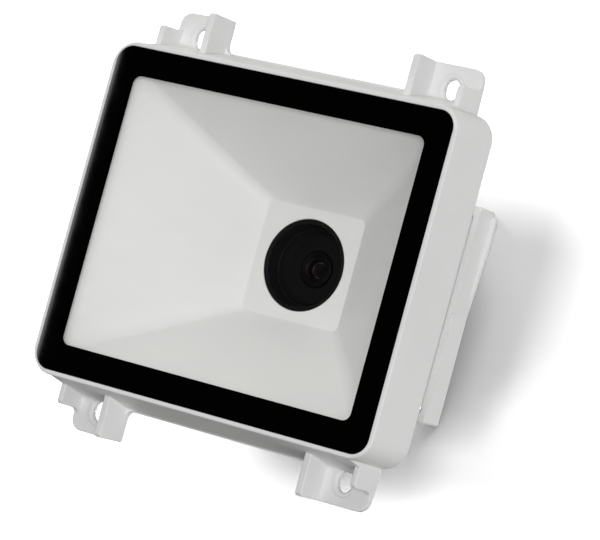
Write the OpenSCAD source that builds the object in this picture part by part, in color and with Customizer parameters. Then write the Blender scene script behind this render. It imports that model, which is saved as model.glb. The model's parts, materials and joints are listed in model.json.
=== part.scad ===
// Compact fixed-mount barcode scan engine, lying on its back.
// +Z runs along the optical axis, out of the window. X is the width and Y
// runs from ear to ear. The origin is the centre of the footprint, on the
// plane of the back face. Millimetres.

/* [Front shell] */
// Width of the front shell
shell_w = 61.5; // [61:0.1:62.5]
// Height of the front face, without the ears
face_h = 51.5; // [51:0.1:52]
// Upper edge of the shell's rear rim at its corners, from the centre line
rear_up = 26.4; // [26.1:0.1:26.7]
// Lower edge of the shell's rear rim at its corners, from the centre line
rear_low = 26.0; // [25.8:0.1:26.3]
// Corner radius of the shell, seen from the front
shell_r = 3.9; // [3.4:0.1:4.4]
// Distance from the back plane to the front lip
total_d = 29.3; // [29.1:0.1:29.8]
// Distance from the back plane to the shell's rear edge
rear_z = 19.0; // [18.8:0.1:19.1]
// Wall thickness of the shell
wall = 1.2; // [1.0:0.05:1.3]
// How far the long sides flare out between the ears, at the rear edge
flare = 2.05; // [1.6:0.05:2.3]
// Radius of the rounding on the front lip
lip_round = 0.3; // [0.15:0.05:0.4]

/* [Mounting ears] */
// Overall height from ear to ear
ears_h = 65.7; // [65:0.1:66.5]
// Outer edge of an ear, from the centre line
ear_out = 27.2; // [27:0.1:27.4]
// Inner edge of an ear, from the centre line
ear_in = 17.8; // [17.5:0.1:18]
// Thickness of the ear plate
ear_t = 1.0; // [0.9:0.05:1.2]
// Radius of the ear's outer corner
ear_r = 1.9; // [1.2:0.1:2.4]
// Thickness of the inner rib
rib_in_t = 1.1; // [0.9:0.1:1.3]
// Thickness of the outer rib
rib_out_t = 0.9; // [0.8:0.1:1.1]
// Height of the ribs above the shell's rear edge
rib_h = 6.0; // [5:0.1:6.4]
// Reach of the outer rib from the centre line
rib_out_y = 29.7; // [29.2:0.1:30.2]
// Width of the screw slots
slot_w = 2.5; // [2.2:0.1:2.6]
// Length of the screw slots, ear to ear direction
slot_l = 3.1; // [2.9:0.1:3.3]
// Slot centre, across
slot_x = 22.5; // [22.3:0.1:22.7]
// Slot centre, from the centre line
slot_y = 29.2; // [29.1:0.05:29.4]
// Depth of the lead-in round the screw slots
slot_c = 0.28; // [0.15:0.01:0.35]

/* [Window and funnel] */
// Width of the clear opening in the black frame
clear_w = 52.1; // [51:0.1:52.6]
// Height of the clear opening in the black frame
clear_h = 41.6; // [41:0.1:42]
// Width of the funnel's mouth
mouth_w = 55.6; // [55:0.1:55.8]
// Height of the funnel's mouth
mouth_h = 43.8; // [43.4:0.1:44.2]
// Width of the funnel's floor
floor_w = 17.6; // [17.2:0.1:18]
// Height of the funnel's floor
floor_h = 17.3; // [17:0.1:17.7]
// Level of the funnel's floor above the back plane
floor_z = 11.0; // [10.9:0.1:11.2]
// Diameter of the round hole in the floor
eye_d = 14.1; // [13.9:0.1:14.3]

/* [Rear body] */
// Half width of the rear cover
cover_x = 23.4; // [23.2:0.1:23.6]
// Upper edge of the rear cover
cover_y1 = 14.9; // [14.7:0.1:15.1]
// Lower edge of the rear cover, below the centre line
cover_y0 = 18.2; // [18:0.1:18.4]
// Height of the rear cover's rim
cover_z = 4.4; // [4.2:0.1:4.6]
// Step from the cover's rim in to the tub
shelf = 1.0; // [0.9:0.05:1.1]

/* [Camera] */
// Diameter of the lens barrel
barrel_d = 5.4; // [5.2:0.1:5.5]
// Level of the barrel's front face
barrel_z = 7.5; // [7.3:0.1:7.6]
// Diameter of the visible glass
glass_d = 2.9; // [2.6:0.1:3.2]

/* [Hidden] */
$fn = 64;

shell_col = [0.85, 0.85, 0.84];
black_col = [0.03, 0.03, 0.03];
white_col = [0.93, 0.93, 0.92];
board_col = [0.05, 0.30, 0.17];
chip_col = [0.10, 0.10, 0.11];
tin_col = [0.78, 0.78, 0.78];
glass_col = [0.75, 0.85, 0.90, 0.35];

hx = shell_w / 2;
hy = face_h / 2;
flare_y = hy + flare;
ear_y = ears_h / 2;
pane_w = shell_w - 1.3;
pane_h = face_h - 1.3;
pane_r = shell_r - 1.2;
pane_z = total_d - 1.3;
ledge_z = pane_z - 1.0;
plate_z0 = rear_z + 0.05;
plate_z1 = plate_z0 + ear_t;
inner_x = hx - wall - 0.05;
inner_y = hy - wall - 0.05;
boss_x = inner_x - 2.5;
boss_y = inner_y - 2.5;
board_z = 1.7;
board_t = 1.0;
top_z = board_z + board_t;
tub_x = cover_x - shelf;
tub_y1 = cover_y1 - shelf;
tub_y0 = cover_y0 - shelf;
step_z = 8.4;
tier_x = 24.0;
tier_y = 19.0;
screw_x = 19.0;
screw_y1 = tub_y1 - 3.5;
screw_y0 = -(tub_y0 - 3.5);
light_z = step_z + 1.05;
light_t = 1.0;
link_x = -15.8;
light_screw_at = [[screw_x, screw_y0], [-screw_x, screw_y1]];
host_y = -(tub_y0 - 4.15);

// Rounded rectangle with true arcs.
module rrect(w, h, r) {
    square([w - 2 * r, h], center = true);
    square([w, h - 2 * r], center = true);
    for (x = [-1, 1], y = [-1, 1])
        translate([x * (w / 2 - r), y * (h / 2 - r)]) circle(r);
}

module slab(w, h, r, z0, z1) {
    translate([0, 0, z0]) linear_extrude(z1 - z0) rrect(w, h, r);
}

// Rounded rectangle between y0 (below) and y1 (above).
module slab_y(hw, y0, y1, r, z0, z1) {
    translate([0, (y1 - y0) / 2, z0]) linear_extrude(z1 - z0) rrect(2 * hw, y0 + y1, r);
}

module yz_prism(points, x0, x1) {
    translate([x0, 0, 0]) rotate([90, 0, 90]) linear_extrude(x1 - x0) polygon(points);
}

// Outside of the skirt: slight draft on the long sides, rounded front lip.
module skirt() {
    hull() {
        slab_y(hx, rear_low, rear_up, shell_r, rear_z, rear_z + 0.05);
        slab(shell_w, face_h + 0.1, shell_r, total_d - lip_round - 0.4, total_d - lip_round);
        slab(shell_w - lip_round * 0.32, face_h - lip_round * 0.32, shell_r - lip_round * 0.16,
            total_d - lip_round * 0.45, total_d - lip_round * 0.44);
        slab(shell_w - lip_round * 0.9, face_h - lip_round * 0.9, shell_r - lip_round * 0.45,
            total_d - lip_round * 0.13, total_d - lip_round * 0.12);
        slab(shell_w - lip_round * 2, face_h - lip_round * 2, shell_r - lip_round,
            total_d - 0.01, total_d);
    }
}

// Flared long sides between the ears, with a thin bead along the rear edge.
module flared_sides() {
    yz_prism([[-flare_y, rear_z], [-flare_y, rear_z + 0.3], [-hy - 0.02, total_d - 0.8],
        [hy + 0.02, total_d - 0.8], [flare_y, rear_z + 0.3], [flare_y, rear_z]], -ear_out, ear_out);
    for (s = [-1, 1])
        yz_prism([[s * (flare_y - 1), rear_z], [s * (flare_y - 1), rear_z + 0.35],
            [s * (flare_y + 0.1), rear_z + 0.35], [s * (flare_y + 0.22), rear_z + 0.22],
            [s * (flare_y + 0.22), rear_z + 0.1], [s * (flare_y + 0.1), rear_z]], -ear_in - 1, ear_in + 1);
}

// One ear in the +X +Y quarter: slotted plate between two ribs.
module ear() {
    difference() {
        union() {
            translate([0, 0, plate_z0]) linear_extrude(ear_t) difference() {
                union() {
                    translate([ear_in, hy]) square([ear_out - ear_in - ear_r, ear_y - hy]);
                    translate([ear_in, hy]) square([ear_out - ear_in, ear_y - hy - ear_r]);
                    translate([ear_out - ear_r, ear_y - ear_r]) circle(ear_r);
                    translate([ear_in - 1.4, hy]) square([1.5, flare_y + 1.4 - hy]);
                }
                translate([ear_in - 1.4, flare_y + 1.4]) circle(1.4);
            }
            // inner rib, as long as the ear
            yz_prism([[hy - 0.5, plate_z0], [ear_y, plate_z0], [ear_y, rear_z + rib_h - 0.4],
                [ear_y - 0.4, rear_z + rib_h], [hy - 0.5, rear_z + rib_h]], ear_in, ear_in + rib_in_t);
            // outer rib, shorter, with a sloped end
            yz_prism([[hy - 0.5, plate_z0], [rib_out_y + 0.5, plate_z0], [rib_out_y + 0.5, plate_z1],
                [rib_out_y + 0.12, plate_z1 + 0.5], [rib_out_y, plate_z1 + 1.1],
                [rib_out_y - 0.1, rear_z + rib_h - 0.5], [rib_out_y - 0.5, rear_z + rib_h - 0.1],
                [hy - 0.5, rear_z + rib_h - 0.1]], ear_out - rib_out_t, ear_out);
            // fillet where the plate meets the wall
            translate([ear_in + 0.2, 0, 0]) yz_prism([[flare_y - 1.2, plate_z1 - 0.1],
                [flare_y + 0.75, plate_z1 - 0.1], [flare_y + 0.75, plate_z1], [flare_y + 0.25, plate_z1 + 0.12],
                [flare_y - 0.1, plate_z1 + 0.4], [flare_y - 0.3, plate_z1 + 0.9],
                [flare_y - 1.2, plate_z1 + 0.9]], 0, ear_out - ear_in - 0.4);
            // low rim round the slot
            translate([slot_x, slot_y, plate_z1 - 0.1]) linear_extrude(0.25)
                rrect(slot_w + 1.5, slot_l + 1.5, (slot_w + 1.5) / 2 - 0.001);
        }
        translate([slot_x, slot_y, 0]) {
            slot_hole(slot_w, slot_l, plate_z0 - 1, plate_z0 + 3);
            // lead-in at the front of the slot
            slot_hole(slot_w + 2 * slot_c, slot_l + 2 * slot_c, plate_z1 + 0.14, plate_z1 + 1.4);
            for (s = [-1, 1]) translate([0, s * (slot_l - slot_w) / 2, plate_z1 + 0.15 - slot_c])
                cylinder(r1 = slot_w / 2, r2 = slot_w / 2 + slot_c, h = slot_c);
            translate([0, (slot_l - slot_w) / 2, plate_z1 + 0.15 - slot_c]) rotate([90, 0, 0])
                linear_extrude(slot_l - slot_w) polygon([[-slot_w / 2, 0], [slot_w / 2, 0],
                    [slot_w / 2 + slot_c, slot_c], [-slot_w / 2 - slot_c, slot_c]]);
        }
    }
}

module slot_hole(w, l, z0, z1) {
    for (s = [-1, 1]) translate([0, s * (l - w) / 2, z0]) cylinder(d = w, h = z1 - z0);
    translate([-w / 2, -(l - w) / 2, z0]) cube([w, l - w, z1 - z0]);
}

module four() {
    for (a = [0, 1], b = [0, 1]) mirror([a, 0, 0]) mirror([0, b, 0]) children();
}

module front_housing() {
    color(shell_col) difference() {
        union() {
            difference() {
                union() { skirt(); flared_sides(); four() ear(); }
                // seat of the pane, and the opening under it
                slab(pane_w, pane_h, pane_r, pane_z, total_d + 1);
                slab(pane_w - 2.3, pane_h - 2.3, pane_r - 1, ledge_z - 0.1, total_d + 1);
                // cavity behind the ledge
                slab(2 * inner_x, 2 * inner_y, 2.4, rear_z - 1, ledge_z);
                // cavity in the flared sides
                yz_prism([[-inner_y - 2.06, rear_z - 1], [-inner_y - 1.86, rear_z], [-inner_y + 0.2, ledge_z - 0.6],
                    [inner_y - 0.2, ledge_z - 0.6], [inner_y + 1.86, rear_z], [inner_y + 2.06, rear_z - 1]],
                    -ear_out + 1.4, ear_out - 1.4);
            }
            // screw bosses in the corners
            four() {
                translate([boss_x, boss_y, rear_z + 1.45]) cylinder(r = 2.6, h = 3.6);
                translate([boss_x, boss_y - 1.1, rear_z + 1.45]) cube([2.9, 2.2, 3.6]);
                translate([boss_x - 1.1, boss_y, rear_z + 1.45]) cube([2.2, 3.2, 3.6]);
            }
        }
        four() translate([boss_x, boss_y, rear_z + 1]) cylinder(r = 0.85, h = 3.85);
    }
}

module front_window() {
    color(glass_col) slab(pane_w - 0.1, pane_h - 0.1, pane_r - 0.05, pane_z + 0.1, pane_z + 1.1);
}

module window_mask() {
    color(black_col) difference() {
        slab(pane_w - 0.1, pane_h - 0.1, pane_r - 0.05, pane_z + 1.1, pane_z + 1.25);
        slab(clear_w, clear_h, 1.3, pane_z + 1, pane_z + 2);
    }
}

module window_gasket() {
    color(black_col) difference() {
        slab(pane_w - 0.4, pane_h - 0.4, pane_r - 0.2, pane_z, pane_z + 0.1);
        slab(pane_w - 2.1, pane_h - 2.1, pane_r - 0.9, pane_z - 1, pane_z + 1);
    }
}

// Funnel: four sloped walls, open at the mouth, with a square floor.
module frustum(w0, h0, w1, h1, z0, z1) {
    hull() {
        slab(w0, h0, 1.2, z0, z0 + 0.01);
        slab(w1, h1, 2.2, z1 - 0.01, z1);
    }
}

module reflector() {
    mz = pane_z - 0.05;
    ax = (mouth_w - floor_w) / (mz - floor_z);
    ay = (mouth_h - floor_h) / (mz - floor_z);
    color(white_col) difference() {
        union() {
            frustum(floor_w + 1.9, floor_h + 2.1, mouth_w + 1.9, mouth_h + 2.1, floor_z - 0.9, mz);
            slab(2 * inner_x - 0.2, 2 * inner_y - 0.2, 2.3, ledge_z - 0.95, ledge_z - 0.05);
        }
        frustum(floor_w, floor_h, mouth_w + ax, mouth_h + ay, floor_z, mz + 1);
        cylinder(d = eye_d, h = 40);
    }
}

// Light baffle: black cup that hangs in the funnel's floor.
module camera_hood() {
    color(black_col) rotate_extrude($fn = 96) polygon([
        [barrel_d / 2 + 0.2, 6.6], [eye_d / 2 - 0.1, 6.6], [eye_d / 2 - 0.1, floor_z - 2.0],
        [eye_d / 2 + 1.2, floor_z - 2.0], [eye_d / 2 + 1.2, floor_z - 0.95], [eye_d / 2 - 0.05, floor_z - 0.95],
        [eye_d / 2 - 0.05, floor_z - 0.05], [eye_d / 2 - 0.3, floor_z], [eye_d / 2 - 0.7, floor_z - 0.25],
        [eye_d / 2 - 1.1, floor_z - 2.4], [eye_d / 2 - 1.25, floor_z - 2.4], [eye_d / 2 - 1.45, 7.9],
        [eye_d / 2 - 1.9, 7.2], [barrel_d / 2 + 0.2, 7.2]]);
}

// Lens barrel with a threaded outside and a stepped mouth.
module lens_barrel() {
    r = barrel_d / 2;
    color(black_col) rotate_extrude($fn = 96) polygon([
        [1.95, 4.3], [r, 4.3], [r, barrel_z - 0.12], [r - 0.12, barrel_z], [glass_d / 2 + 0.7, barrel_z],
        [glass_d / 2 + 0.45, barrel_z - 0.3], [glass_d / 2 + 0.1, barrel_z - 0.45],
        [glass_d / 2 + 0.1, barrel_z - 0.6], [1.75, barrel_z - 0.6], [1.75, barrel_z - 1.2],
        [0.8, barrel_z - 1.2], [0.8, 5.4], [1.95, 5.4]]);
}

// Front element: domed front, flat back, with a flat edge.
module front_lens() {
    r = glass_d / 2;
    R = 2.6;
    z = barrel_z - 1.15;
    color(glass_col) {
        intersection() {
            translate([0, 0, z]) cylinder(r = r, h = 1.2);
            translate([0, 0, z + 0.95 - R]) sphere(R, $fn = 96);
        }
        translate([0, 0, z]) cylinder(r = r + 0.25, h = 0.5);
    }
}

module rear_lens() {
    color(glass_col) intersection() {
        translate([0, 0, 4.45]) cylinder(r = 1.85, h = 0.9);
        translate([0, 0, 5.3 - 4]) sphere(4, $fn = 96);
    }
}

module lens_lock_ring() {
    color(black_col) difference() {
        translate([0, 0, 5.85]) cylinder(r = 3.85, h = 0.65);
        cylinder(r = barrel_d / 2 + 0.05, h = 20);
        for (a = [0:90:270]) rotate(a) translate([3.3, -0.5, 5]) cube([2, 1, 3]);
    }
}

module lens_holder() {
    color(black_col) difference() {
        union() {
            slab(9.4, 9.4, 0.8, top_z, 4.25);
            translate([0, 0, 4.1]) cylinder(r = 3.8, h = 1.7);
            for (s = [-1, 1]) translate([s * 5.1, s * 3.2, top_z]) cylinder(r = 1.2, h = 1.0);
        }
        slab(6.6, 6.6, 0.4, 1, top_z + 1.05);
        slab(4.9, 4.9, 0.12, top_z + 0.9, top_z + 1.5);
        translate([0, 0, top_z + 1.3]) cylinder(r = barrel_d / 2 + 0.05, h = 20);
    }
}

module ir_filter() {
    color([0.45, 0.75, 0.75, 0.35]) slab(4.8, 4.8, 0.1, top_z + 1.1, top_z + 1.4);
}

module image_sensor() {
    color(chip_col) slab(6.2, 6.2, 0.1, top_z, top_z + 0.8);
    color([0.3, 0.35, 0.45]) translate([-1.9, -1.4, top_z + 0.79]) cube([3.8, 2.8, 0.06]);
}

module main_board() {
    color(board_col) difference() {
        slab_y(tub_x - 1.45, tub_y0 - 1.45, tub_y1 - 1.45, 1.0, board_z, top_z);
        for (x = [-1, 1], y = [screw_y0, screw_y1])
            translate([x * screw_x, y, 0]) cylinder(r = 1.05, h = 9);
        for (x = [-1, 1], y = [-1.27 * 1.5 : 1.27 : 1.27 * 1.5 + 0.01])
            translate([link_x + x * 0.635, y, 0]) cylinder(r = 0.35, h = 9, $fn = 24);
    }
}

module chip(x, y, w, h, t) {
    translate([x, y, top_z]) {
        translate([-w / 2, -h / 2, 0.08]) cube([w, h, t - 0.08]);
        translate([-w / 2 + 0.3, -h / 2 + 0.3, 0]) cube([w - 0.6, h - 0.6, 0.1]);
    }
}

module processor_chip() {
    color(chip_col) difference() {
        chip(12.4, -2.6, 10.2, 10.2, 1.1);
        translate([8.3, 1.5, top_z + 1.0]) cylinder(r = 0.4, h = 1, $fn = 32);
    }
}

module memory_chip() {
    color(chip_col) difference() {
        chip(11.8, 8.0, 8.0, 6.2, 0.9);
        translate([8.5, 10.4, top_z + 0.8]) cylinder(r = 0.35, h = 1, $fn = 32);
    }
}

module crystal() {
    color(tin_col) {
        slab_y_at(8.3, -11.6, 3.2, 2.5, 0.3, top_z, top_z + 0.35);
        slab_y_at(8.3, -11.6, 2.9, 2.2, 0.3, top_z + 0.34, top_z + 0.8);
    }
}

module slab_y_at(x, y, w, h, r, z0, z1) {
    translate([x, y, z0]) linear_extrude(z1 - z0) rrect(w, h, r);
}

module passive(x, y, w, h, t) {
    translate([x - w / 2, y - h / 2, top_z]) cube([w, h, t]);
}

module board_components() {
    color([0.55, 0.42, 0.30]) {
        for (i = [0:4]) passive(8.2 + 1.9 * i, 4.05, 0.6, 1.1, 0.45);
        for (i = [0:2]) passive(12.2 + 1.9 * i, -11.2, 0.8, 1.5, 0.6);
        for (i = [0:3]) passive(18.9, -6.4 + 2.1 * i, 1.1, 0.6, 0.45);
        for (i = [0:2]) passive(-8.6, 3.2 + 2.2 * i, 1.5, 0.8, 0.6);
    }
    color(chip_col) {
        passive(-12.4, 9.6, 3.0, 2.8, 1.0);
        passive(-7.2, 11.2, 1.6, 1.6, 0.8);
        passive(-8.4, -5.6, 3.0, 3.0, 1.2);
    }
}

// Right-angle host socket, open towards -Y.
module host_connector() {
    color([0.90, 0.89, 0.84]) difference() {
        translate([-16.2, host_y - 2.6, top_z]) cube([12.6, 5.2, 3.5]);
        translate([-15.4, host_y - 3.6, top_z + 0.7]) cube([11.0, 5.0, 2.1]);
        translate([-16.8, host_y - 3.6, top_z + 1.4]) cube([2.0, 3.4, 0.9]);
        translate([-5.0, host_y - 3.6, top_z + 1.4]) cube([2.0, 3.4, 0.9]);
    }
    color([0.80, 0.66, 0.30]) for (i = [0:7])
        translate([-14.425 + 1.25 * i - 0.15, host_y - 1.8, top_z + 1.55]) cube([0.3, 3.6, 0.3]);
}

// Header that links the two boards.
module link_header() {
    color(chip_col) difference() {
        translate([link_x - 1.25, -2.8, top_z]) cube([2.5, 5.6, light_z - top_z]);
        for (x = [-1, 1]) translate([link_x + x * 1.25 - 0.25, -1.8, top_z + 1]) cube([0.5, 3.6, 3.2]);
    }
    color([0.80, 0.66, 0.30])
        for (x = [-1, 1], y = [-1.27 * 1.5 : 1.27 : 1.27 * 1.5 + 0.01])
            translate([link_x + x * 0.635 - 0.2, y - 0.2, board_z - 0.4]) cube([0.4, 0.4, 1.5]);
}

module illumination_board() {
    color([0.90, 0.90, 0.88]) difference() {
        slab(2 * tier_x - 2.7, 2 * tier_y - 2.7, 1.6, light_z, light_z + light_t);
        slab(floor_w + 3.6, floor_h + 3.8, 1.5, light_z - 1, light_z + 3);
        for (s = light_screw_at) translate([s[0], s[1], 0]) cylinder(r = 1.05, h = 20);
    }
}

led_at = [[-15.5, 9.6], [-15.5, 0], [-15.5, -9.6], [15.5, 9.6], [15.5, 0], [15.5, -9.6],
    [-6.5, 14.2], [6.5, 14.2], [-6.5, -14.2], [6.5, -14.2]];
module illumination_leds() {
    for (p = led_at) translate([p[0], p[1], light_z + light_t]) {
        color(white_col) difference() {
            translate([-1.4, -1.4, 0]) cube([2.8, 2.8, 0.7]);
            translate([0, 0, 0.45]) cylinder(r = 1.1, h = 1, $fn = 48);
        }
        color([0.95, 0.85, 0.25]) translate([0, 0, 0.44]) cylinder(r = 1.1, h = 0.16, $fn = 48);
    }
}

// Stepped tub: a flange inside the shell, a wide tier, and a narrow tier that the cover closes.
module tub_posts(r, z0, z1) {
    for (x = [-1, 1], y = [screw_y0, screw_y1])
        translate([x * screw_x, y, z0]) cylinder(r = r, h = z1 - z0);
}

module rear_housing() {
    fz0 = rear_z + 0.2;
    fz1 = rear_z + 1.4;
    color(shell_col) difference() {
        union() {
            slab(2 * inner_x - 0.2, 2 * inner_y - 0.2, 2.3, fz0, fz1);
            yz_prism([[-inner_y - 1.3, fz0], [-inner_y - 1.3, fz1], [inner_y + 1.3, fz1], [inner_y + 1.3, fz0]],
                -ear_out + 1.6, ear_out - 1.6);
            slab(2 * tier_x, 2 * tier_y, 2.6, step_z, fz0 + 0.1);
            slab_y(tub_x - 0.1, tub_y0 - 0.1, tub_y1 - 0.1, 1.2, 1.15, step_z + 0.1);
        }
        // mouth of the tub
        slab(2 * tier_x - 2.4, 2 * tier_y - 2.4, 1.5, step_z + 1.0, fz1 + 1);
        difference() {
            slab_y(tub_x - 1.3, tub_y0 - 1.3, tub_y1 - 1.3, 0.8, 0, step_z + 2);
            // posts that both boards are screwed to
            tub_posts(2.3, top_z + 0.05, step_z + 1.0);
        }
        tub_posts(0.85, 0, step_z + 2);
        // screw holes in the flange
        four() translate([boss_x, boss_y, fz0 - 1]) cylinder(r = 1.15, h = 4);
        // way in to the host socket
        translate([-16.6, -tub_y0 - 1, top_z - 0.2]) cube([13.4, 4, 4.1]);
        // seats of the cover's latches
        for (x = [-1, 1]) translate([x * (tub_x - 0.6), -2.9, 3.3]) cube([1.4, 3.4, 0.9], center = true);
    }
}

// Shallow tray that closes the back, held by a latch on each side.
module rear_cover() {
    color(shell_col) {
        difference() {
            slab_y(cover_x, cover_y0, cover_y1, 0.5, 0, cover_z);
            slab_y(tub_x - 0.05, tub_y0 - 0.05, tub_y1 - 0.05, 1.15, 1.1, cover_z + 1);
            // way in to the host socket
            translate([-16.6, -cover_y0 - 1, top_z - 0.2]) cube([13.4, 4, 4.1]);
            // pry slots in the rim
            for (x = [-1, 1]) translate([x * cover_x, -2.9, cover_z]) cube([0.7, 3.0, 0.8], center = true);
        }
        // long tapered grip along each side of the tray
        for (s = [0, 1]) mirror([s, 0, 0])
            linear_extrude(0.9) polygon([[cover_x - 0.3, -1.5], [cover_x, -1.5], [cover_x + 0.75, 10.5],
                [cover_x + 0.75, cover_y1 - 1.2], [cover_x + 0.5, cover_y1 - 0.8], [cover_x - 0.3, cover_y1 - 0.8]]);
        // latch hooks
        for (x = [-1, 1]) translate([x * (tub_x - 0.18), -2.9, 3.3]) cube([0.5, 2.8, 0.5], center = true);
    }
}

// Pan-head screw, head down, tip at z = len above the seat.
module screw(len, r, head_r, head_h) {
    rotate_extrude($fn = 48) polygon([[0, -head_h + 0.55], [0.45, -head_h + 0.55], [0.45, -head_h],
        [head_r - 0.35, -head_h], [head_r, -head_h + 0.35], [head_r, 0], [r, 0], [r, len - 0.3],
        [r * 0.5, len], [0, len]]);
}

module housing_screws() {
    color(tin_col) four() translate([boss_x, boss_y, rear_z + 0.2]) screw(4.4, 0.8, 1.8, 1.1);
}

module board_screws() {
    color(tin_col) {
        for (x = [-1, 1], y = [screw_y0, screw_y1])
            translate([x * screw_x, y, board_z]) screw(4.0, 0.8, 1.6, 0.55);
        for (s = light_screw_at) translate([s[0], s[1], light_z + light_t]) mirror([0, 0, 1])
            screw(3.0, 0.8, 1.6, 0.9);
    }
}

front_housing();
front_window();
window_mask();
window_gasket();
reflector();
camera_hood();
lens_barrel();
front_lens();
rear_lens();
lens_lock_ring();
lens_holder();
ir_filter();
image_sensor();
main_board();
processor_chip();
memory_chip();
crystal();
board_components();
host_connector();
link_header();
illumination_board();
illumination_leds();
rear_housing();
rear_cover();
housing_screws();
board_screws();
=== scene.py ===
import json
import math

import bmesh
import bpy
from mathutils import Matrix, Vector


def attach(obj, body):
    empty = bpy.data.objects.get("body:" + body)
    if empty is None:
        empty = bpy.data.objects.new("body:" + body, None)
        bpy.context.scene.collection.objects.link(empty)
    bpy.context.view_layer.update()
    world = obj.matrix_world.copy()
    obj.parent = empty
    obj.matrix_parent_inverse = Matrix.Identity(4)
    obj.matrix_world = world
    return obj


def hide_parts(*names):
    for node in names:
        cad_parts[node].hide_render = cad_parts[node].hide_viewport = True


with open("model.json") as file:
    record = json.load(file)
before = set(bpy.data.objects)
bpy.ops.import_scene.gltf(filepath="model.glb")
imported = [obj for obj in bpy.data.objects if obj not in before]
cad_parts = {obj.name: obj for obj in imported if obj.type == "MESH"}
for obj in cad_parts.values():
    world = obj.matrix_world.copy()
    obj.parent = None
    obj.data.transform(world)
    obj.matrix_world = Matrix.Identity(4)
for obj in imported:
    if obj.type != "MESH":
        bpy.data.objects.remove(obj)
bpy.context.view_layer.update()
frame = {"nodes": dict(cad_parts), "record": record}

scene = bpy.context.scene
nodes_cad = frame["nodes"]
MM = 0.001


# ---------------------------------------------------------------- camera
def make_camera():
    data = bpy.data.cameras.new("camera")
    cam = bpy.data.objects.new("camera", data)
    scene.collection.objects.link(cam)
    right = Vector((0.8142, 0.263, -0.5176)).normalized()
    fwd = Vector((-0.5448, 0.0377, -0.8377)).normalized()
    up = right.cross(fwd).normalized()
    right = fwd.cross(up).normalized()
    m = Matrix((
        (right.x, up.x, -fwd.x, 0.2680),
        (right.y, up.y, -fwd.y, -0.0195),
        (right.z, up.z, -fwd.z, 0.4237),
        (0, 0, 0, 1)))
    cam.matrix_world = m
    data.sensor_width = 36.0
    data.lens = 197.4
    data.shift_x = 0.00083
    data.shift_y = 0.00083
    data.clip_start = 0.01
    data.clip_end = 20.0
    data.dof.use_dof = False
    scene.camera = cam
    return cam


camera = make_camera()


# ---------------------------------------------------------------- node helpers
class Tree:
    """Small helper around a node tree."""

    def __init__(self, tree):
        self.t = tree

    def new(self, kind, **props):
        n = self.t.nodes.new(kind)
        for k, v in props.items():
            setattr(n, k, v)
        return n

    def put(self, socket, value):
        """Links a socket, or sets a value."""
        if isinstance(value, bpy.types.NodeSocket):
            self.t.links.new(value, socket)
        else:
            socket.default_value = value

    def coord(self, kind="Object"):
        return self.new("ShaderNodeTexCoord").outputs[kind]

    def mapping(self, vec, loc=(0, 0, 0), rot=(0, 0, 0), scale=(1, 1, 1)):
        n = self.new("ShaderNodeMapping")
        self.put(n.inputs["Vector"], vec)
        n.inputs["Location"].default_value = loc
        n.inputs["Rotation"].default_value = rot
        n.inputs["Scale"].default_value = scale
        return n.outputs[0]

    def noise(self, vec, scale, detail=2.0, rough=0.5, distort=0.0):
        n = self.new("ShaderNodeTexNoise")
        self.put(n.inputs["Vector"], vec)
        n.inputs["Scale"].default_value = scale
        n.inputs["Detail"].default_value = detail
        n.inputs["Roughness"].default_value = rough
        n.inputs["Distortion"].default_value = distort
        return n.outputs["Fac"]

    def voronoi(self, vec, scale, feature="F1", distance="EUCLIDEAN", out="Distance", randomness=1.0):
        n = self.new("ShaderNodeTexVoronoi", feature=feature)
        if feature != "DISTANCE_TO_EDGE":
            n.distance = distance
        self.put(n.inputs["Vector"], vec)
        n.inputs["Scale"].default_value = scale
        n.inputs["Randomness"].default_value = randomness
        return n.outputs[out]

    def math(self, op, a, b=0.0, c=0.0, clamp=False):
        n = self.new("ShaderNodeMath", operation=op, use_clamp=clamp)
        self.put(n.inputs[0], a)
        self.put(n.inputs[1], b)
        if op in ("MULTIPLY_ADD", "SMOOTH_MIN", "SMOOTH_MAX", "COMPARE", "WRAP"):
            self.put(n.inputs[2], c)
        return n.outputs[0]

    def remap(self, v, a, b, c, d, kind="LINEAR"):
        n = self.new("ShaderNodeMapRange", interpolation_type=kind)
        self.put(n.inputs["Value"], v)
        for k, x in zip(("From Min", "From Max", "To Min", "To Max"), (a, b, c, d)):
            self.put(n.inputs[k], x)
        return n.outputs[0]

    def xyz(self, vec):
        n = self.new("ShaderNodeSeparateXYZ")
        self.put(n.inputs[0], vec)
        return n.outputs

    def vmath(self, op, a, b=(0, 0, 0), out="Vector"):
        n = self.new("ShaderNodeVectorMath", operation=op)
        self.put(n.inputs[0], a)
        self.put(n.inputs[1], b)
        return n.outputs[out]

    def mix(self, fac, a, b, blend="MIX"):
        n = self.new("ShaderNodeMix", data_type="RGBA", blend_type=blend)
        self.put(n.inputs[0], fac)
        self.put(n.inputs[6], a)
        self.put(n.inputs[7], b)
        return n.outputs[2]

    def bump(self, height, strength, distance, normal=None):
        n = self.new("ShaderNodeBump")
        n.inputs["Strength"].default_value = strength
        n.inputs["Distance"].default_value = distance
        self.put(n.inputs["Height"], height)
        if normal is not None:
            self.put(n.inputs["Normal"], normal)
        return n.outputs[0]

    def bevel(self, radius, samples=4):
        n = self.new("ShaderNodeBevel", samples=samples)
        n.inputs["Radius"].default_value = radius
        return n.outputs[0]

    def edges(self, radius, gain=6.0, samples=4):
        """1 near a convex or concave edge, 0 on open faces. Also gives the rounded normal."""
        rounded = self.bevel(radius, samples)
        flat = self.new("ShaderNodeNewGeometry").outputs["Normal"]
        d = self.vmath("DOT_PRODUCT", rounded, flat, out="Value")
        return self.math("MULTIPLY", self.math("SUBTRACT", 1.0, d), gain, clamp=True), rounded


def col(c, a=1.0):
    return (c[0], c[1], c[2], a)


def grey(v):
    return (v, v, v, 1.0)


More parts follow.
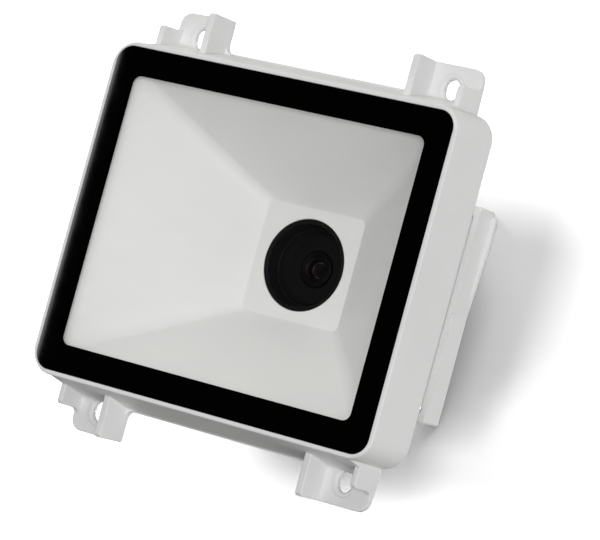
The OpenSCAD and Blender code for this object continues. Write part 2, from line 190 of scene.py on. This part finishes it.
def material(name):
    m = bpy.data.materials.new(name)
    m.use_nodes = True
    t = Tree(m.node_tree)
    b = next(n for n in m.node_tree.nodes if n.type == "BSDF_PRINCIPLED")
    return m, t, b


def shade(value, k):
    return tuple(max(0.0, min(1.0, x * k)) for x in value)


def moulded(name, base, rough=0.45, spec=0.5, vary=0.03, grain=4200.0, grain_bump=0.12, wave_bump=0.25,
            edge_r=0.00022, wear_and_highlight_lift=0.05, rough_vary=0.06, tint=(1.0, 1.0, 1.0), subsurface=0.0):
    """Injection-moulded plastic: spark-eroded grain, slow tone drift, faint flow waviness, and edges painted lighter,
    partly rubbed wear and partly a painted edge highlight.
    """
    m, t, b = material(name)
    pos = t.coord()
    slow = t.noise(pos, 55.0, 3.0, 0.55)
    mid = t.noise(t.mapping(pos, loc=(0.013, 0.027, 0.011)), 420.0, 2.0, 0.5)
    fine = t.noise(pos, grain, 2.0, 0.6)
    edge, rounded = t.edges(edge_r)
    drift = t.math("ADD", t.math("MULTIPLY", slow, 0.75), t.math("MULTIPLY", mid, 0.25))
    dark = col(shade(base, 1.0 - vary))
    light = col(shade([x * y for x, y in zip(base, tint)], 1.0 + vary))
    body = t.mix(t.remap(drift, 0.35, 0.65, 0.0, 1.0), dark, light)
    # edges painted lighter: partly rubbed wear, partly a painted highlight along convex and concave edges
    wear_and_edge_highlight = t.math("MULTIPLY", edge, t.remap(t.noise(pos, 900.0, 2.0), 0.35, 0.65, 0.25, 1.0))
    body = t.mix(t.math("MULTIPLY", wear_and_edge_highlight, wear_and_highlight_lift * 4.0, clamp=True), body, col(shade(base, 1.0 + wear_and_highlight_lift * 2.0)))
    t.put(b.inputs["Base Color"], body)
    r = t.math("ADD", t.remap(mid, 0.3, 0.7, rough - rough_vary, rough + rough_vary),
               t.math("MULTIPLY", wear_and_edge_highlight, -0.08))
    t.put(b.inputs["Roughness"], t.math("ADD", r, t.remap(fine, 0.3, 0.7, -0.02, 0.02)))
    b.inputs["Specular IOR Level"].default_value = spec
    h1 = t.bump(t.noise(pos, 160.0, 2.0), wave_bump, 0.00002, rounded)
    h2 = t.bump(fine, grain_bump, 0.00001, h1)
    t.put(b.inputs["Normal"], h2)
    if subsurface > 0:
        b.inputs["Subsurface Weight"].default_value = subsurface
        b.inputs["Subsurface Radius"].default_value = (1.0, 0.95, 0.9)
        b.inputs["Subsurface Scale"].default_value = 0.0008
    return m


def board(name, mask, trace, rough=0.35, pitch=900.0):
    """Solder-masked board: routed tracks and vias under the mask."""
    m, t, b = material(name)
    pos = t.coord()
    flat = t.mapping(pos, scale=(1, 1, 0.02))
    cell = t.voronoi(flat, pitch, feature="F1", distance="CHEBYCHEV", out="Distance", randomness=0.75)
    line = t.voronoi(t.mapping(flat, rot=(0, 0, math.radians(45))), pitch * 0.45, feature="DISTANCE_TO_EDGE")
    tracks = t.remap(line, 0.02, 0.045, 1.0, 0.0)
    vias = t.remap(cell, 0.06, 0.12, 1.0, 0.0)
    weave = t.noise(t.mapping(pos, scale=(1, 1, 1)), 1800.0, 2.0)
    c = t.mix(t.remap(t.noise(pos, 90.0), 0.35, 0.65, 0, 1), col(shade(mask, 0.85)), col(shade(mask, 1.12)))
    c = t.mix(t.math("MULTIPLY", tracks, 0.55), c, col(trace))
    c = t.mix(vias, c, col(shade(trace, 0.6)))
    edge, rounded = t.edges(0.00012)
    c = t.mix(t.math("MULTIPLY", edge, 0.5), c, (0.42, 0.38, 0.24, 1))
    t.put(b.inputs["Base Color"], c)
    t.put(b.inputs["Roughness"], t.remap(weave, 0.3, 0.7, rough - 0.07, rough + 0.09))
    height = t.math("ADD", t.math("MULTIPLY", tracks, 0.6), t.math("MULTIPLY", weave, 0.15))
    t.put(b.inputs["Normal"], t.bump(height, 0.4, 0.00003, rounded))
    b.inputs["Coat Weight"].default_value = 0.35
    b.inputs["Coat Roughness"].default_value = 0.2
    return m


def metal(name, base, rough=0.3, lines=(1, 1, 60), scale=300.0, bump=0.2):
    """Plated or drawn metal with fine directional marks and edges painted brighter, partly rubbed wear and partly a
    painted highlight.
    """
    m, t, b = material(name)
    pos = t.coord()
    drag = t.noise(t.mapping(pos, scale=lines), scale, 3.0, 0.6)
    spots = t.noise(pos, 700.0, 2.0)
    edge, rounded = t.edges(0.0001)
    c = t.mix(t.remap(t.math("ADD", drag, spots), 0.8, 1.2, 0, 1), col(shade(base, 0.82)), col(shade(base, 1.1)))
    # edges painted brighter: partly rubbed wear, partly a painted highlight
    c = t.mix(t.math("MULTIPLY", edge, 0.6), c, col(shade(base, 1.3)))
    t.put(b.inputs["Base Color"], c)
    b.inputs["Metallic"].default_value = 1.0
    t.put(b.inputs["Roughness"], t.remap(drag, 0.3, 0.7, rough - 0.08, rough + 0.12))
    t.put(b.inputs["Normal"], t.bump(drag, bump, 0.00001, rounded))
    return m


# ---------------------------------------------------------------- materials
SHELL = (0.80, 0.80, 0.803)
mats = {}
mats["shell_plastic"] = moulded("shell_plastic", SHELL, rough=0.5, spec=0.25, vary=0.018, tint=(1.0, 1.0, 0.998))
mats["funnel_plastic"] = moulded("funnel_plastic", (0.925, 0.925, 0.917), rough=0.6, spec=0.15, vary=0.008,
                                 grain=5200.0, grain_bump=0.03, wear_and_highlight_lift=0.0, edge_r=0.0003, tint=(1.0, 1.0, 0.99))


def make_mask():
    m, t, b = material("mask_film")
    pos = t.coord()
    mottle = t.noise(pos, 240.0, 3.0, 0.55)
    dust = t.voronoi(pos, 2600.0, out="Distance")
    edge, rounded = t.edges(0.0001)
    c = t.mix(t.remap(mottle, 0.35, 0.65, 0, 1), (0.0004, 0.0004, 0.0005, 1), (0.0010, 0.0010, 0.0011, 1))
    c = t.mix(t.remap(dust, 0.0, 0.035, 0.05, 0.0), c, (0.05, 0.05, 0.05, 1))
    t.put(b.inputs["Base Color"], c)
    t.put(b.inputs["Roughness"], t.remap(mottle, 0.3, 0.7, 0.075, 0.11))
    b.inputs["Specular IOR Level"].default_value = 0.12
    t.put(b.inputs["Normal"], t.bump(t.noise(pos, 60.0, 2.0), 0.05, 0.00002, rounded))
    return m


def make_pane():
    """Clear, thin-looking pane: a straight look through it, with a Fresnel reflection on top."""
    m, t, b = material("window_pane")
    t.t.nodes.remove(b)
    out = next(n for n in t.t.nodes if n.type == "OUTPUT_MATERIAL")
    pos = t.coord()
    wave = t.noise(pos, 45.0, 2.0)
    smear = t.noise(t.mapping(pos, rot=(0, 0, 0.5), scale=(1, 4, 1)), 130.0, 4.0, 0.6)
    clear = t.new("ShaderNodeBsdfTransparent")
    t.put(clear.inputs["Color"], t.mix(t.remap(smear, 0.35, 0.65, 0, 1), (0.990, 0.992, 0.990, 1), (0.982, 0.984, 0.982, 1)))
    gloss = t.new("ShaderNodeBsdfGlossy")
    t.put(gloss.inputs["Color"], (1, 1, 1, 1))
    t.put(gloss.inputs["Roughness"], t.remap(smear, 0.35, 0.65, 0.02, 0.07))
    normal = t.bump(wave, 0.02, 0.00002)
    t.put(gloss.inputs["Normal"], normal)
    face = t.new("ShaderNodeLayerWeight")
    face.inputs["Blend"].default_value = 0.5
    t.put(face.inputs["Normal"], normal)
    fres = t.math("MULTIPLY_ADD", t.math("POWER", face.outputs["Facing"], 5.0), 0.9, 0.02)
    mixer = t.new("ShaderNodeMixShader")
    t.put(mixer.inputs[0], fres)
    t.put(mixer.inputs[1], clear.outputs[0])
    t.put(mixer.inputs[2], gloss.outputs[0])
    t.put(out.inputs["Surface"], mixer.outputs[0])
    return m


mats["mask_film"] = make_mask()
mats["window_pane"] = make_pane()
mats["gasket_tape"] = moulded("gasket_tape", (0.012, 0.012, 0.012), rough=0.8, spec=0.2, vary=0.2, grain=3000.0,
                              grain_bump=0.4, wear_and_highlight_lift=0.0)
mats["baffle_plastic"] = moulded("baffle_plastic", (0.0052, 0.0052, 0.0053), rough=0.62, spec=0.10, vary=0.12,
                                 grain=3800.0, grain_bump=0.3, wear_and_highlight_lift=0.03)
mats["connector_plastic"] = moulded("connector_plastic", (0.74, 0.71, 0.61), rough=0.42, spec=0.4, vary=0.03,
                                    tint=(1.0, 0.99, 0.96))
mats["header_plastic"] = moulded("header_plastic", (0.012, 0.012, 0.013), rough=0.5, spec=0.4, vary=0.15)
mats["chip_package"] = moulded("chip_package", (0.014, 0.014, 0.016), rough=0.6, spec=0.35, vary=0.15, grain=2600.0,
                               grain_bump=0.5, wear_and_highlight_lift=0.08)
mats["sensor_package"] = moulded("sensor_package", (0.02, 0.02, 0.024), rough=0.45, spec=0.4, vary=0.12)
mats["component_body"] = moulded("component_body", (0.30, 0.20, 0.12), rough=0.5, spec=0.4, vary=0.25, grain=2500.0)
mats["led_package"] = moulded("led_package", (0.82, 0.81, 0.72), rough=0.35, spec=0.5, vary=0.03)
mats["circuit_board"] = board("circuit_board", (0.012, 0.105, 0.045), (0.05, 0.24, 0.10))
mats["light_board"] = board("light_board", (0.78, 0.78, 0.76), (0.70, 0.71, 0.69), rough=0.4)
mats["can_metal"] = metal("can_metal", (0.62, 0.62, 0.63), rough=0.35, lines=(60, 1, 1))
mats["screw_steel"] = metal("screw_steel", (0.56, 0.56, 0.58), rough=0.32, lines=(1, 1, 20))


def plate_contacts(name, where):
    """Gives the contacts of a moulded piece their gold plating: where() marks them by their place."""
    t = Tree(mats[name].node_tree)
    b = next(n for n in t.t.nodes if n.type == "BSDF_PRINCIPLED")
    pos = t.coord()
    mask = where(t, t.xyz(pos))
    drag = t.noise(t.mapping(pos, scale=(1, 30, 1)), 300.0, 3.0, 0.6)
    gold = t.mix(t.remap(drag, 0.35, 0.65, 0.0, 1.0), (0.62, 0.40, 0.12, 1), (0.86, 0.59, 0.21, 1))
    body = b.inputs["Base Color"].links[0].from_socket
    rough = b.inputs["Roughness"].links[0].from_socket
    t.put(b.inputs["Base Color"], t.mix(mask, body, gold))
    shiny = t.remap(drag, 0.3, 0.7, 0.2, 0.34)
    t.put(b.inputs["Roughness"], t.math("MULTIPLY_ADD", mask, t.math("SUBTRACT", shiny, rough), rough))
    t.put(b.inputs["Metallic"], mask)


def socket_contacts(t, p):
    row = t.math("WRAP", t.math("ADD", p[0], 14.425 * MM), 0.625 * MM, -0.625 * MM)
    there = t.math("COMPARE", row, 0.0, 0.17 * MM)
    there = t.math("MULTIPLY", there, t.math("COMPARE", p[2], 4.4 * MM, 0.17 * MM))
    there = t.math("MULTIPLY", there, t.math("COMPARE", p[0], -10.05 * MM, 4.7 * MM))
    return t.math("MULTIPLY", there, t.math("LESS_THAN", p[1], -11.66 * MM))


def header_contacts(t, p):
    return t.math("LESS_THAN", p[2], 2.69 * MM)


plate_contacts("connector_plastic", socket_contacts)
plate_contacts("header_plastic", header_contacts)


def make_barrel():
    m, t, b = material("lens_barrel_black")
    pos = t.coord()
    s = t.xyz(pos)
    r = t.math("SQRT", t.math("ADD", t.math("MULTIPLY", s[0], s[0]), t.math("MULTIPLY", s[1], s[1])))
    rings = t.math("SINE", t.math("MULTIPLY", r, 2 * math.pi / 0.00022))
    thread = t.math("SINE", t.math("MULTIPLY", s[2], 2 * math.pi / 0.00035))
    fine = t.noise(pos, 3000.0, 2.0)
    edge, rounded = t.edges(0.00012)
    c = t.mix(t.remap(fine, 0.3, 0.7, 0, 1), (0.0010, 0.0010, 0.0011, 1), (0.0018, 0.0018, 0.0019, 1))
    # edges painted lighter: a painted edge highlight
    c = t.mix(t.math("MULTIPLY", edge, 0.35), c, (0.006, 0.006, 0.0065, 1))
    t.put(b.inputs["Base Color"], c)
    t.put(b.inputs["Roughness"], t.remap(fine, 0.3, 0.7, 0.45, 0.58))
    b.inputs["Specular IOR Level"].default_value = 0.12
    h = t.math("ADD", t.math("MULTIPLY", rings, 0.35), t.math("MULTIPLY", thread, 0.5))
    t.put(b.inputs["Normal"], t.bump(h, 0.35, 0.00003, rounded))
    return m


def make_glass(name, base, film, spec=0.6, rough=0.03):
    """Coated optical glass over a dark interior: deep colour with painted shade darker towards the rim, faint pinkish
    patches painted in as coating reflection, and the shader's own coloured coating reflection.
    """
    m, t, b = material(name)
    pos = t.coord()
    s = t.xyz(pos)
    r = t.math("SQRT", t.math("ADD", t.math("MULTIPLY", s[0], s[0]), t.math("MULTIPLY", s[1], s[1])))
    # painted shade: the colour darkens towards the rim
    c = t.mix(t.remap(r, 0.0, 0.0015, 0.0, 1.0), col(base), col(shade(base, 0.45)))
    # faint pinkish patches: a painted coating reflection
    c = t.mix(t.remap(t.noise(pos, 500.0, 2.0), 0.4, 0.6, 0.0, 0.12), c, (0.03, 0.012, 0.02, 1))
    t.put(b.inputs["Base Color"], c)
    t.put(b.inputs["Roughness"], t.remap(t.noise(pos, 1500.0), 0.3, 0.7, rough * 0.6, rough * 1.5))
    b.inputs["Specular IOR Level"].default_value = spec
    b.inputs["Specular Tint"].default_value = film
    b.inputs["Coat Weight"].default_value = 0.4
    b.inputs["Coat Roughness"].default_value = 0.03
    t.put(b.inputs["Normal"], t.bump(t.noise(pos, 400.0), 0.02, 0.00001))
    return m


mats["lens_barrel_black"] = make_barrel()
mats["lens_glass"] = make_glass("lens_glass", (0.010, 0.008, 0.010), (0.9, 0.62, 0.75, 1))
mats["filter_glass"] = make_glass("filter_glass", (0.03, 0.09, 0.10), (0.6, 0.9, 1.0, 1))


# ---------------------------------------------------------------- assign the materials to the nodes
for sub in frame["record"]["subparts"]:
    node, slot = sub["node"], sub["material_slot"]
    ob = nodes_cad[node]
    ob.data.materials.clear()
    ob.data.materials.append(mats[slot])


# ---------------------------------------------------------------- rounded edges
def open_mesh(node):
    """The node's mesh as whole faces: flat patches with a single outline become one face, the others stay as they are."""
    bm = bmesh.new()
    bm.from_mesh(nodes_cad[node].data)
    bmesh.ops.remove_doubles(bm, verts=bm.verts, dist=2e-6)
    bm.normal_update()
    flat = math.radians(0.4)
    seen, patches = set(), []
    for f in bm.faces:
        if f in seen:
            continue
        seen.add(f)
        patch, stack = [f], [f]
        while stack:
            g = stack.pop()
            for e in g.edges:
                if not e.is_manifold:
                    continue
                for h in e.link_faces:
                    if h not in seen and h.normal.angle(f.normal, 9.0) < flat:
                        seen.add(h)
                        patch.append(h)
                        stack.append(h)
        patches.append(patch)
    drop = []
    for patch in patches:
        if len(patch) < 2:
            continue
        own = set(patch)
        rim, inner = [], []
        for f in patch:
            for e in f.edges:
                (inner if all(h in own for h in e.link_faces) else rim).append(e)
        rim = set(rim)
        corners = {v for e in rim for v in e.verts}
        whole = {v for f in patch for v in f.verts}
        # one closed outline with no vertex used twice, and nothing inside it
        if len(corners) == len(rim) and len(whole) == len(corners) and len(patch) == len(rim) - 2:
            drop.extend(inner)
    bmesh.ops.dissolve_edges(bm, edges=list(set(drop)), use_verts=False, use_face_split=False)
    # vertices left in the middle of straight edges
    straight = []
    for v in bm.verts:
        if len(v.link_edges) == 2:
            p, q = (e.other_vert(v).co - v.co for e in v.link_edges)
            if p.length > 0 and q.length > 0 and p.angle(q) > math.pi - 1e-4:
                straight.append(v)
    bmesh.ops.dissolve_verts(bm, verts=straight)
    return bm


def round_edges(bm, size, min_angle=50.0, segments=2, keep=None):
    """Rounds the sharp convex edges that have room for it."""
    limit = math.radians(min_angle)
    picked = {e for e in bm.edges
              if e.is_manifold and e.is_convex and e.calc_face_angle() > limit and (keep is None or keep(e))}
    need = 1.6 * size
    while True:
        drop = set()
        for e in picked:
            for loop in e.link_loops:
                along = (loop.vert.co - loop.link_loop_next.vert.co).normalized()
                for n in (loop.link_loop_prev.edge, loop.link_loop_next.edge):
                    if n.calc_length() >= need:
                        continue
                    turn = abs(along.dot((n.verts[0].co - n.verts[1].co).normalized()))
                    if n not in picked or turn < 0.8:
                        drop.add(e)
        if not drop:
            break
        picked -= drop
    order = [e for e in bm.edges if e in picked]
    bmesh.ops.bevel(bm, geom=order, offset=size, offset_type="OFFSET", segments=segments, profile=0.5,
                    affect="EDGES", clamp_overlap=False)
    bmesh.ops.remove_doubles(bm, verts=bm.verts, dist=1e-6)


def flat_patches(bm):
    """Groups coplanar neighbouring faces. Gives each face its patch's area and mean width."""
    size = {}
    for f in bm.faces:
        if f in size:
            continue
        patch, stack, own = [f], [f], {f}
        while stack:
            g = stack.pop()
            for e in g.edges:
                if e.is_manifold:
                    for h in e.link_faces:
                        if h not in own and h.normal.angle(f.normal, 9.0) < 0.007:
                            own.add(h)
                            patch.append(h)
                            stack.append(h)
        pts = [v.co for g in patch for v in g.verts]
        span = math.sqrt(sum((max(p[k] for p in pts) - min(p[k] for p in pts)) ** 2 for k in range(3)))
        area = sum(g.calc_area() for g in patch)
        for g in patch:
            size[g] = (area, area / max(span, 1e-9))
    return size


def smooth_fan(f, v):
    """The faces round a vertex that are reached from a face over smooth edges."""
    fan, stack = {f}, [f]
    while stack:
        g = stack.pop()
        for e in g.edges:
            if e.smooth and v in e.verts:
                for h in e.link_faces:
                    if h not in fan:
                        fan.add(h)
                        stack.append(h)
    return fan


def corner_normals(bm, rounding):
    """Flat faces keep their own normal up to their edges; roundings and curved walls run smoothly between them."""
    bm.normal_update()
    size = flat_patches(bm)
    narrow = {f for f in bm.faces if size[f][1] < 0.9 * rounding}
    for e in bm.edges:
        if not e.is_manifold:
            e.smooth = False
            continue
        f, g = e.link_faces
        angle = math.degrees(e.calc_face_angle(9.0))
        if f in narrow or g in narrow:
            e.smooth = angle < 50
        else:
            wide = min(size[f][1], size[g][1]) > 1.1 * MM
            e.smooth = angle < (3 if wide else 20)
    # where a rounding ends, two flat faces could share one fan: part it
    for v in bm.verts:
        for _ in range(4):
            parted = False
            for f in v.link_faces:
                fan = smooth_fan(f, v)
                plain = [g for g in fan if g not in narrow]
                if not any(g.normal.angle(h.normal, 0.0) > 0.35 for g in plain for h in plain):
                    continue
                inner = [e for e in v.link_edges if e.smooth and all(g in fan for g in e.link_faces)]
                inner.sort(key=lambda e: (-e.calc_face_angle(0.0), e.index))
                inner[0].smooth = False
                parted = True
                break
            if not parted:
                break
    out = []
    for f in bm.faces:
        f.smooth = True
        for loop in f.loops:
            fan = smooth_fan(f, loop.vert)
            plain = [g for g in fan if g not in narrow]
            broad = [g for g in plain if size[g][1] > 1.1 * MM]
            if f in broad:
                plain = [g for g in broad if g.normal.angle(f.normal, 9.0) < 0.06]
            elif broad:
                plain = broad
            elif plain:
                top = max(size[g][0] for g in plain)
                plain = [g for g in plain if size[g][0] > 0.3 * top]
            n = Vector((0, 0, 0))
            for g in sorted(plain or fan, key=lambda h: h.index):
                n += g.normal
            out.append(n.normalized() if n.length > 1e-6 else f.normal.copy())
    return out


def place(bm, name, node, slot_name, rounding):
    """Makes the piece that stands for a CAD node, shaded smooth over its roundings and flat on its faces."""
    me = bpy.data.meshes.new(name)
    bmesh.ops.recalc_face_normals(bm, faces=bm.faces)
    bm.faces.index_update()
    bm.edges.index_update()
    normals = corner_normals(bm, rounding)
    bm.to_mesh(me)
    bm.free()
    me.normals_split_custom_set(normals)
    me.materials.append(mats[slot_name])
    ob = bpy.data.objects.new(name, me)
    scene.collection.objects.link(ob)
    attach(ob, "root")
    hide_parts(node)
    return ob


def middle(e):
    return (e.verts[0].co + e.verts[1].co) * 500.0


def shell_edge(e):
    m = middle(e)
    return m.z < 29.2


def tub_edge(e):
    m = middle(e)
    return not (abs(abs(m.x) - 19.0) < 2.6 and m.z > 8.0 and m.z < 10.0)


def cover_edge(e):
    m = middle(e)
    return not (-5.2 < m.y < -0.6 and m.z > 2.0 and abs(m.x) > 20)


made = {}
for node, slot_name, size, keep in (
        ("front_housing", "shell_plastic", 0.15, shell_edge),
        ("rear_housing", "shell_plastic", 0.18, tub_edge),
        ("rear_cover", "shell_plastic", 0.22, cover_edge),
        ("reflector", "funnel_plastic", 0.12, None),
        ("window_mask", "mask_film", 0.05, None),
        ("front_window", "window_pane", 0.10, None),
        ("camera_hood", "baffle_plastic", 0.07, None)):
    bm = open_mesh(node)
    round_edges(bm, size * MM, keep=keep)
    made[node] = place(bm, node + "_finish", node, slot_name, size * MM)
film_objects = [made["window_mask"]]
lit_objects = [made.get(node, ob) for node, ob in nodes_cad.items() if node not in ("window_mask", "front_lens")]


# ---------------------------------------------------------------- stage
def make_stage():
    me = bpy.data.meshes.new("floor")
    bm = bmesh.new()
    s = 3.0
    vs = [bm.verts.new((x * s, y * s, -0.00005)) for x, y in ((-1, -1), (1, -1), (1, 1), (-1, 1))]
    bm.faces.new(vs)
    bm.to_mesh(me)
    bm.free()
    ob = bpy.data.objects.new("floor", me)
    scene.collection.objects.link(ob)
    m, t, b = material("floor_paper")
    pos = t.coord()
    c = t.mix(t.remap(t.noise(pos, 6.0, 3.0), 0.35, 0.65, 0, 1), (0.214, 0.214, 0.214, 1), (0.222, 0.222, 0.222, 1))
    t.put(b.inputs["Base Color"], c)
    t.put(b.inputs["Roughness"], t.remap(t.noise(pos, 300.0), 0.3, 0.7, 0.9, 1.0))
    b.inputs["Specular IOR Level"].default_value = 0.0
    t.put(b.inputs["Normal"], t.bump(t.noise(pos, 900.0), 0.03, 0.00002))
    # seen from below, the paper lets the look pass, so that the underside can be seen
    out = next(n for n in t.t.nodes if n.type == "OUTPUT_MATERIAL")
    clear = t.new("ShaderNodeBsdfTransparent")
    mixer = t.new("ShaderNodeMixShader")
    t.put(mixer.inputs[0], t.new("ShaderNodeNewGeometry").outputs["Backfacing"])
    t.put(mixer.inputs[1], b.outputs[0])
    t.put(mixer.inputs[2], clear.outputs[0])
    t.put(out.inputs["Surface"], mixer.outputs[0])
    me.materials.append(m)
    ob.visible_diffuse = False
    ob.visible_glossy = False
    ob.visible_transmission = False
    ob.visible_shadow = False
    return ob


floor = make_stage()


# ---------------------------------------------------------------- light
def only_for(light, objs, name):
    c = bpy.data.collections.new(name)
    for o in objs:
        c.objects.link(o)
    light.light_linking.receiver_collection = c


TENT = (
    ((0.29, 0.71, 0.64), 0.49), ((-0.29, 0.71, 0.64), 0.30), ((-0.71, 0.29, 0.64), 0.34), ((0.29, -0.71, 0.64), 0.17),
    ((0.71, -0.29, 0.64), 0.09), ((0.97, 0.00, 0.24), 0.62), ((0.69, 0.69, 0.24), 0.03), ((0.00, 0.97, 0.24), 1.28),
    ((-0.69, 0.69, 0.24), 0.62), ((-0.97, 0.00, 0.24), 0.51), ((0.69, -0.69, 0.24), 0.88), ((0.37, 0.90, -0.24), 0.37),
    ((-0.37, 0.90, -0.24), 0.84), ((-0.90, 0.37, -0.24), 0.46), ((0.90, -0.37, -0.24), 0.99), ((0.77, 0.00, -0.64), 0.60),
    ((0.38, 0.66, -0.64), 0.25), ((-0.38, 0.66, -0.64), 1.18), ((-0.77, 0.00, -0.64), 1.01), ((-0.38, -0.66, -0.64), 0.04),
)
# soft key lights: elevation, azimuth, strength
KEYS = ((58, 0, 1.25), (76, 0, 0.342), (76, 60, 0.014))
# soft lights for the paper: elevation, azimuth, strength
PAPER_LIGHTS = (
    (38, 60, 1.0), (38, 75, 4.0), (38, 90, 1.25), (38, 150, 5.75), (38, 180, 4.25), (52, 255, 3.6), (66, 165, 2.25),
)
FILM_STRIP = 0.065


def soft_sun(name, elevation, azimuth, energy, angle, receivers):
    e, a = math.radians(elevation), math.radians(azimuth)
    v = Vector((math.cos(e) * math.cos(a), math.cos(e) * math.sin(a), math.sin(e)))
    ld = bpy.data.lights.new(name, "SUN")
    ld.energy = energy
    ld.angle = math.radians(angle)
    ld.cycles.use_multiple_importance_sampling = False
    lo = bpy.data.objects.new(name, ld)
    scene.collection.objects.link(lo)
    lo.rotation_mode = "QUATERNION"
    lo.rotation_quaternion = (-v).to_track_quat("-Z", "Y")
    lo.location = v * 0.5
    only_for(lo, receivers, name + "_receivers")
    return lo


def make_light():
    w = bpy.data.worlds.new("studio")
    scene.world = w
    w.use_nodes = True
    t = Tree(w.node_tree)
    bg = next(n for n in w.node_tree.nodes if n.type == "BACKGROUND")
    out = next(n for n in w.node_tree.nodes if n.type == "OUTPUT_WORLD")
    d = t.coord("Generated")
    parts = t.xyz(d)
    # a soft tent: a large top light, pale walls and light coming back from the paper around the object
    lum = 0.0
    for v, k in TENT:
        dot = t.vmath("DOT_PRODUCT", d, Vector(v).normalized(), out="Value")
        lobe = t.math("POWER", t.math("MAXIMUM", dot, 0.0), 10.0)
        lum = t.math("MULTIPLY_ADD", lobe, k, lum)
    side = t.math("ABSOLUTE", parts[1])
    tone = t.mix(t.remap(side, 0.0, 1.0, 0.0, 1.0), (1.0, 1.0, 1.0, 1), (1.0, 1.003, 0.965, 1))
    t.put(bg.inputs["Color"], tone)
    t.put(bg.inputs["Strength"], lum)
    # reflections see a dark room with pale strips low around the object
    bg2 = t.new("ShaderNodeBackground")
    t.put(bg2.inputs["Color"], tone)
    strip = t.math("POWER", t.math("SUBTRACT", 1.0, t.math("ABSOLUTE", t.math("SUBTRACT", parts[2], 0.12))), 5.0)
    t.put(bg2.inputs["Strength"], t.math("MULTIPLY_ADD", strip, 0.75, 0.03))
    lp = t.new("ShaderNodeLightPath")
    m1 = t.new("ShaderNodeMixShader")
    t.put(m1.inputs[0], lp.outputs["Is Glossy Ray"])
    t.put(m1.inputs[1], bg.outputs[0])
    t.put(m1.inputs[2], bg2.outputs[0])
    # the backdrop itself is plain white
    bg3 = t.new("ShaderNodeBackground")
    bg3.inputs["Color"].default_value = (1, 1, 1, 1)
    bg3.inputs["Strength"].default_value = 1.0
    m2 = t.new("ShaderNodeMixShader")
    t.put(m2.inputs[0], lp.outputs["Is Camera Ray"])
    t.put(m2.inputs[1], m1.outputs[0])
    t.put(m2.inputs[2], bg3.outputs[0])
    t.put(out.inputs["Surface"], m2.outputs[0])

    # soft lights for the paper alone: together they give its pale tone and the broad shadow to the right
    for i, (el, az, k) in enumerate(PAPER_LIGHTS):
        soft_sun("paper_light_%d" % i, el, az, k * 2.0, 14.0, [floor])
    # a narrow light from straight below, for the looks from underneath
    soft_sun("under_key", -90, 0, 0.85, 10.0, lit_objects)
    # key lights of the object
    for i, (el, az, k) in enumerate(KEYS):
        soft_sun("key_%d" % i, el, az, k, 16.0, lit_objects)

    # a soft strip beyond the left edge, which the black film mirrors along its left border
    ld = bpy.data.lights.new("film_strip", "AREA")
    ld.shape = "RECTANGLE"
    ld.size = 0.030
    ld.size_y = 0.075
    ld.spread = math.radians(100)
    ld.energy = FILM_STRIP
    lo = bpy.data.objects.new("film_strip", ld)
    scene.collection.objects.link(lo)
    lo.location = (-0.0372 - 0.015, 0.0, 0.0393)
    lo.visible_camera = False
    only_for(lo, film_objects, "film_only")


make_light()
scene.view_settings.view_transform = "Standard"
scene.view_settings.look = "None"
scene.view_settings.exposure = 0.0
scene.view_settings.gamma = 1.0
